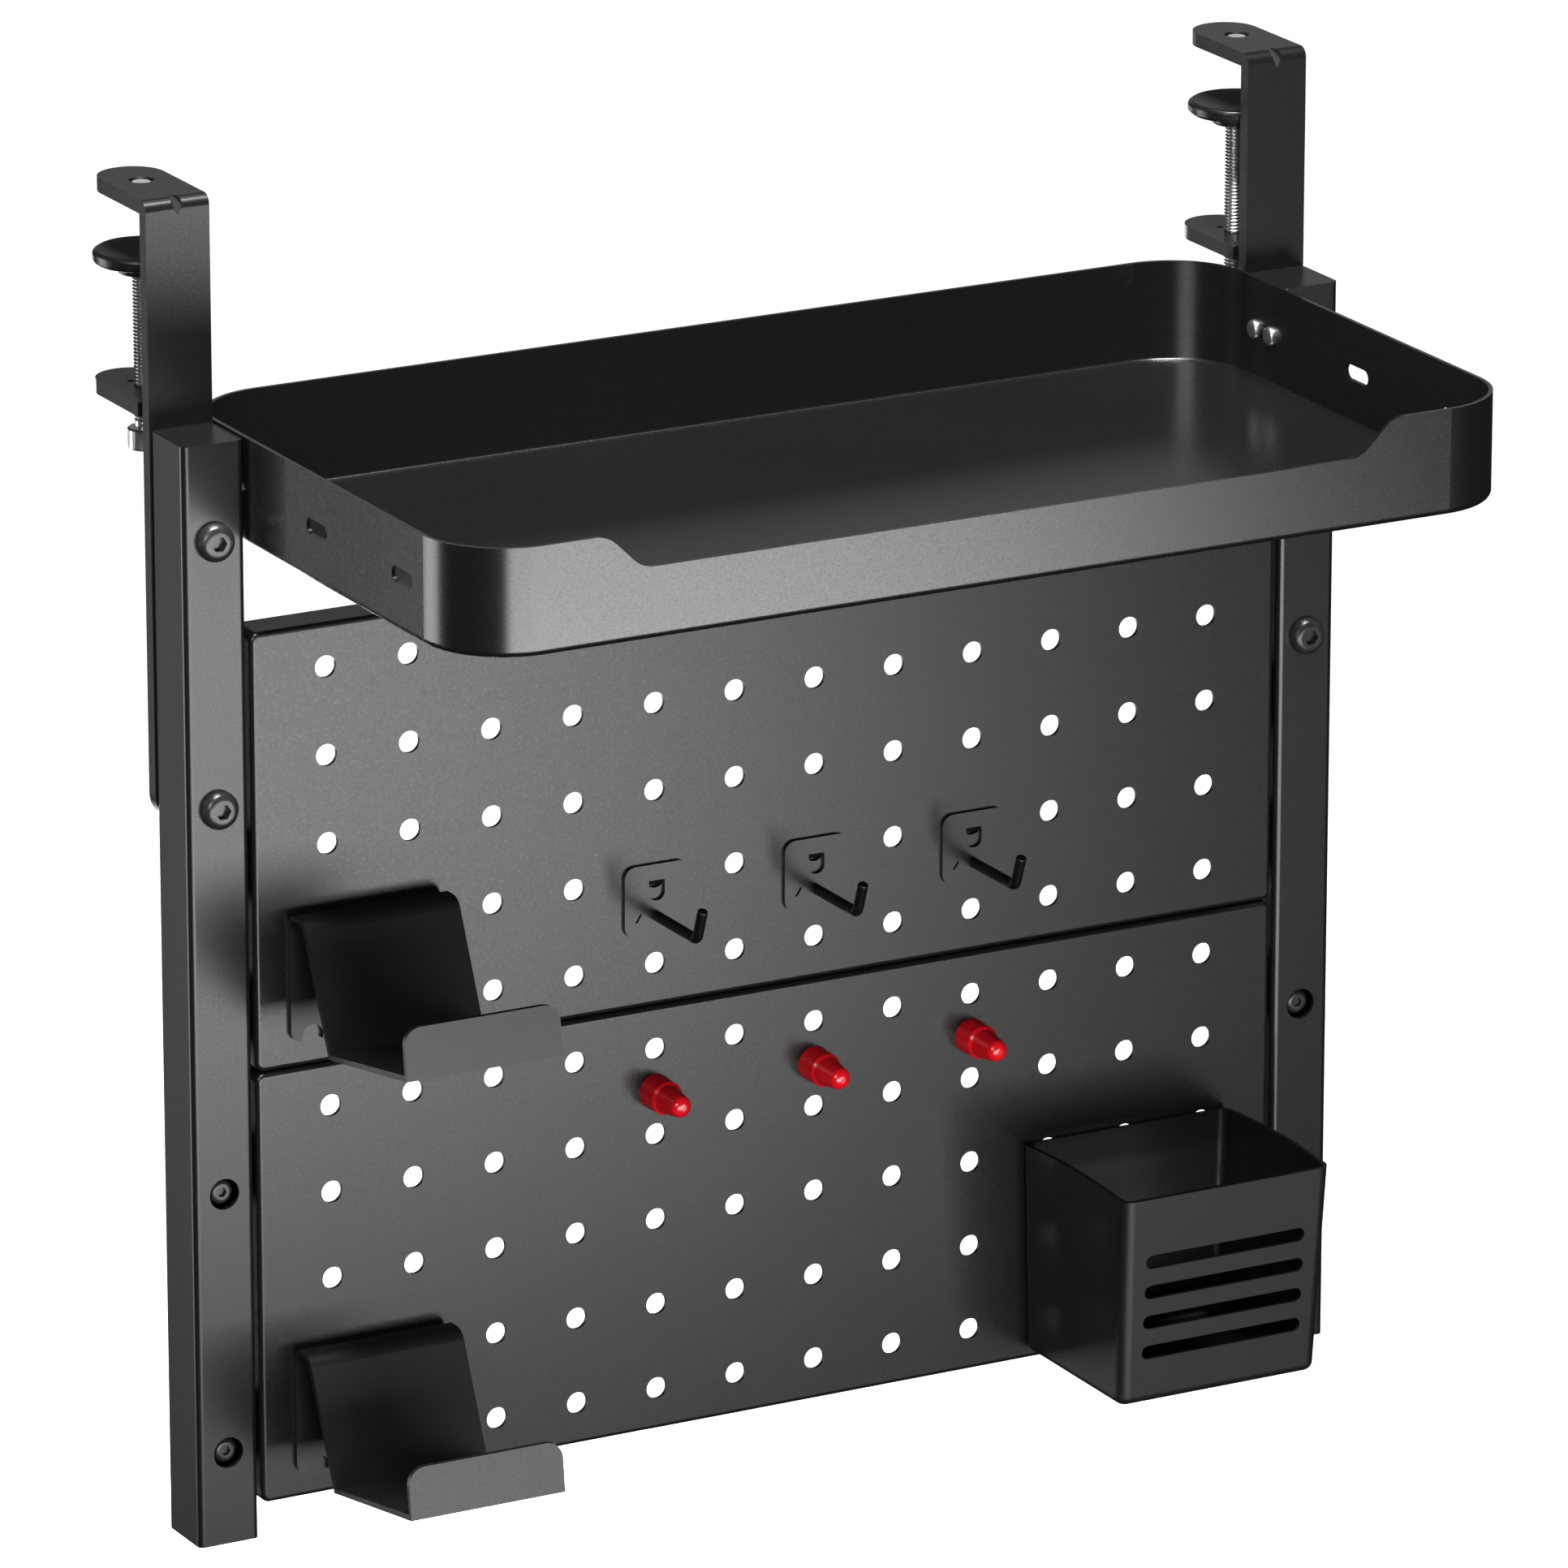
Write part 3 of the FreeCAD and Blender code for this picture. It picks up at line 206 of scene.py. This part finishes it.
# moulded black parts: grained nylon for the caps and soft dull rubber for the pad facings
moulded = {
    "nylon": {"colour": "#4a4a4b", "roughness": 0.58, "grainMm": 0.45, "heightMm": 0.01},
    "rubber": {"colour": "#0d0d0d", "roughness": 0.62, "grainMm": 0.6, "heightMm": 0.02},
}


def mouldedMaterial(name, values):
    roughness = values["roughness"]
    material, tree, shader, place = newMaterial(name, 0.0, roughness, ior=1.5)
    shader.inputs["Base Color"].default_value = hexColour(values["colour"])
    grain = addNode(tree, "ShaderNodeTexNoise", values={"Scale": 1000 / values["grainMm"], "Detail": 3.0},
                    links={"Vector": place})
    rough = addNode(tree, "ShaderNodeMapRange",
                    values={"From Min": 0.3, "From Max": 0.7,
                            "To Min": roughness - 0.05, "To Max": roughness + 0.06},
                    links={"Value": grain.outputs["Fac"]})
    tree.links.new(rough.outputs["Result"], shader.inputs["Roughness"])
    addBump(tree, shader, grain.outputs["Fac"], 0.4, values["heightMm"] / 1000)
    return material


panelCoat = powderCoatMaterial("satin black powder coat", powderCoat["roughness"], powderCoat["panelIor"])
trayCoat = powderCoatMaterial("satin black powder coat on the tray",
                              powderCoat["trayRoughness"], powderCoat["trayIor"])
accessoryCoat = powderCoatMaterial("dull black powder coat on the accessories",
                                   powderCoat["accessoryRoughness"], powderCoat["accessoryIor"])
zinc = zincMaterial("zinc plated steel", zincPlate["roughness"])
rivetZinc = zincMaterial("tumbled zinc on the rivets", zincPlate["rivetRoughness"])
oxide = blackOxideMaterial()
rodBlack = rodMaterial()
red = redMaterial()
nylon = mouldedMaterial("black moulded nylon", moulded["nylon"])
rubber = mouldedMaterial("black nitrile rubber", moulded["rubber"])
nickel = zincMaterial("nickel plated magnet", zincPlate["roughness"])

finishes = {
    "post": panelCoat, "cap": nylon, "strap": panelCoat, "lower_tab": panelCoat, "rivet": rivetZinc,
    "clamp_screw": zinc, "clamp_pad": panelCoat, "facing": rubber, "strap_bolts": oxide,
    "recessed_screws": oxide, "ear_screws": oxide, "tray_screws": zinc, "pegboard": panelCoat,
    "tray": trayCoat, "hook_plate": panelCoat, "hook_rod": rodBlack, "magnetic_pin": red,
    "pin_magnet": nickel, "holder": accessoryCoat, "cup": accessoryCoat,
}
for name, node in nodes.items():
    words = [word for word in finishes if word in name]
    word = max(words, key=len)
    node.data.materials.clear()
    node.data.materials.append(finishes[word])
print("materials set")

# clamp screws: M6 by 1 rolled thread below a knurled socket head, all in millimetres
clampScrew = {
    "thread": 6.0, "pitch": 1.0, "depth": 0.42, "length": 47.6, "tip": 18.0, "lead": 0.8,
    "head": 10.0, "headHeight": 6.0, "headEdge": 0.5, "knurls": 30, "knurlDepth": 0.1,
    "socket": 5.0, "socketDepth": 3.0, "reach": 18.7, "post": 172.8,
    "around": 90, "stepsPerPitch": 8, "sharpDegrees": 38,
}


def threadRadius(turn, drop):
    values = clampScrew
    phase = (drop / values["pitch"] + turn) % 1.0
    valley = min(1.0, max(0.0, 1.15 * (1.0 - abs(2.0 * phase - 1.0)) - 0.08))
    ends = min(drop - values["lead"], values["length"] - 1.5 - drop) / values["pitch"]
    return values["thread"] / 2 - values["depth"] * valley * min(1.0, max(0.0, ends))


def knurledRadius(turn, share):
    values = clampScrew
    ridge = abs(math.sin(math.pi * values["knurls"] * turn))
    return values["head"] / 2 - values["knurlDepth"] * share * (1.0 - ridge)


def socketRadius(turn):
    corner = math.pi / 3
    angle = (turn * 2 * math.pi) % corner - corner / 2
    return clampScrew["socket"] / 2 / math.cos(angle)


def makeClampScrew(word, side):
    values = clampScrew
    around, length = values["around"], values["length"]
    rings = [(0.0, lambda turn: values["thread"] / 2 - values["lead"])]
    count = int((length - values["lead"]) / values["pitch"] * values["stepsPerPitch"])
    for i in range(count + 1):
        drop = values["lead"] + (length - values["lead"]) * i / count
        rings.append((drop, lambda turn, drop=drop: threadRadius(turn, drop)))
    low = length + values["headHeight"]
    edge = values["headEdge"]
    rings += [
        (length, lambda turn: values["head"] / 2 - edge),
        (length + edge, lambda turn: knurledRadius(turn, 0.0)),
        (length + 2 * edge, lambda turn: knurledRadius(turn, 1.0)),
        (low - 3 * edge, lambda turn: knurledRadius(turn, 1.0)),
        (low - 2 * edge, lambda turn: knurledRadius(turn, 0.0)),
        (low - edge, lambda turn: values["head"] / 2),
        (low, lambda turn: values["head"] / 2 - edge),
        (low, socketRadius),
        (low - values["socketDepth"], socketRadius),
    ]
    centre = Vector((side * values["post"], values["reach"], -values["tip"])) / 1000
    bm = bmesh.new()
    rows = []
    for drop, radius in rings:
        row = []
        for k in range(around):
            turn = k / around
            angle, r = 2 * math.pi * turn, radius(turn) / 1000
            offset = Vector((r * math.cos(angle), r * math.sin(angle), -drop / 1000))
            row.append(bm.verts.new(centre + offset))
        rows.append(row)
    for upper, lower in zip(rows, rows[1:]):
        for k in range(around):
            n = (k + 1) % around
            bm.faces.new((upper[k], upper[n], lower[n], lower[k]))
    bm.faces.new(list(reversed(rows[0])))
    bm.faces.new(rows[-1])
    bmesh.ops.recalc_face_normals(bm, faces=bm.faces)
    for face in bm.faces:
        face.smooth = True
    for line in bm.edges:
        if len(line.link_faces) == 2 and line.calc_face_angle() > math.radians(values["sharpDegrees"]):
            line.smooth = False
    mesh = bpy.data.meshes.new(word + "ThreadedScrew")
    bm.to_mesh(mesh)
    bm.free()
    piece = bpy.data.objects.new(word + "ThreadedScrew", mesh)
    bpy.context.scene.collection.objects.link(piece)
    piece.data.materials.append(zinc)
    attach(piece, word + "_screw")
    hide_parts(word + "_clamp_screw")


for word, side in (("left", -1), ("right", 1)):
    makeClampScrew(word, side)
print("clamp screws threaded")

# studio: lamps mirrored by the satin coat, over a pale floor
studio = {
    "floorBelow": 0.62,     # metres under the posts' feet
    "floorColour": "#f7f7f7",
    "floorGlow": 0.9,
    "floorRadius": 14.0,
    "worldGrey": "#242424",
    "worldStrength": 1.0,
}


def softBox(name, place, target, width, height, power):
    data = bpy.data.lights.new(name, "AREA")
    data.shape = "RECTANGLE"
    data.size = width
    data.size_y = height
    data.energy = power
    lamp = bpy.data.objects.new(name, data)
    lamp.location = place
    lamp.rotation_mode = "QUATERNION"
    lamp.rotation_quaternion = (Vector(target) - Vector(place)).to_track_quat("-Z", "Y")
    bpy.context.scene.collection.objects.link(lamp)
    lamp.visible_camera = False


def makeFloor():
    bm = bmesh.new()
    bmesh.ops.create_circle(bm, cap_ends=True, segments=96, radius=studio["floorRadius"])
    bmesh.ops.translate(bm, verts=bm.verts, vec=(0, 0, cadBox[0][2] - studio["floorBelow"]))
    mesh = bpy.data.meshes.new("floor")
    bm.to_mesh(mesh)
    bm.free()
    floor = bpy.data.objects.new("floor", mesh)
    bpy.context.scene.collection.objects.link(floor)
    material, tree, shader, place = newMaterial("pale studio floor", 0.0, 0.9)
    shader.inputs["Base Color"].default_value = hexColour(studio["floorColour"])
    shader.inputs["Emission Color"].default_value = hexColour("#ffffff")
    shader.inputs["Emission Strength"].default_value = studio["floorGlow"]
    floor.data.materials.append(material)
    floor.visible_glossy = False     # the satin steel mirrors the lamps and the dark room, not the floor
    floor.visible_diffuse = False


makeFloor()
world = bpy.data.worlds.new("studio")
bpy.context.scene.world = world
world.use_nodes = True
worldNode = world.node_tree.nodes["Background"]
worldNode.inputs["Color"].default_value = hexColour(studio["worldGrey"])
worldNode.inputs["Strength"].default_value = studio["worldStrength"]
softBox("frontLow", (0.01, -1.1, -0.485), (0.01, 0, -0.485), 1.12, 0.39, 14.2)
softBox("frontTop", (-0.05, -0.52, 1.6), (0, -0.1, -0.1), 0.9, 0.4, 110)
softBox("sideLeft", (-1.3, -1.2, 0.55), (0, 0, -0.25), 0.7, 0.5, 15)
softBox("backLeft", (-1.5, 1.15, -0.35), (-0.1, 0, -0.2), 0.85, 1.2, 15)
softBox("backTop", (0.9, 1.7, 0.35), (0, 0, -0.05), 1.4, 0.5, 0.8)
softBox("rearLow", (0.35, 1.6, -0.8), (0, 0, -0.25), 1.1, 0.6, 16)
softBox("over", (0.1, 0.5, 2.0), (0, 0, -0.1), 1.0, 1.0, 8)

# a long lens, so that the posts stay nearly parallel
view = {"lensMm": 266.57, "sensorMm": 36, "near": 0.1, "far": 60,
        "place": (-1.4744, -2.7553, 0.8008), "aim": (0.4535, 0.8385, -0.3020)}
cameraData = bpy.data.cameras.new("camera")
cameraData.sensor_width = view["sensorMm"]
cameraData.lens = view["lensMm"]
cameraData.clip_start = view["near"]
cameraData.clip_end = view["far"]
camera = bpy.data.objects.new("camera", cameraData)
camera.location = view["place"]
camera.rotation_mode = "QUATERNION"
camera.rotation_quaternion = Vector(view["aim"]).to_track_quat("-Z", "Y")
bpy.context.scene.collection.objects.link(camera)
bpy.context.scene.camera = camera
bpy.context.scene.view_settings.view_transform = "Standard"
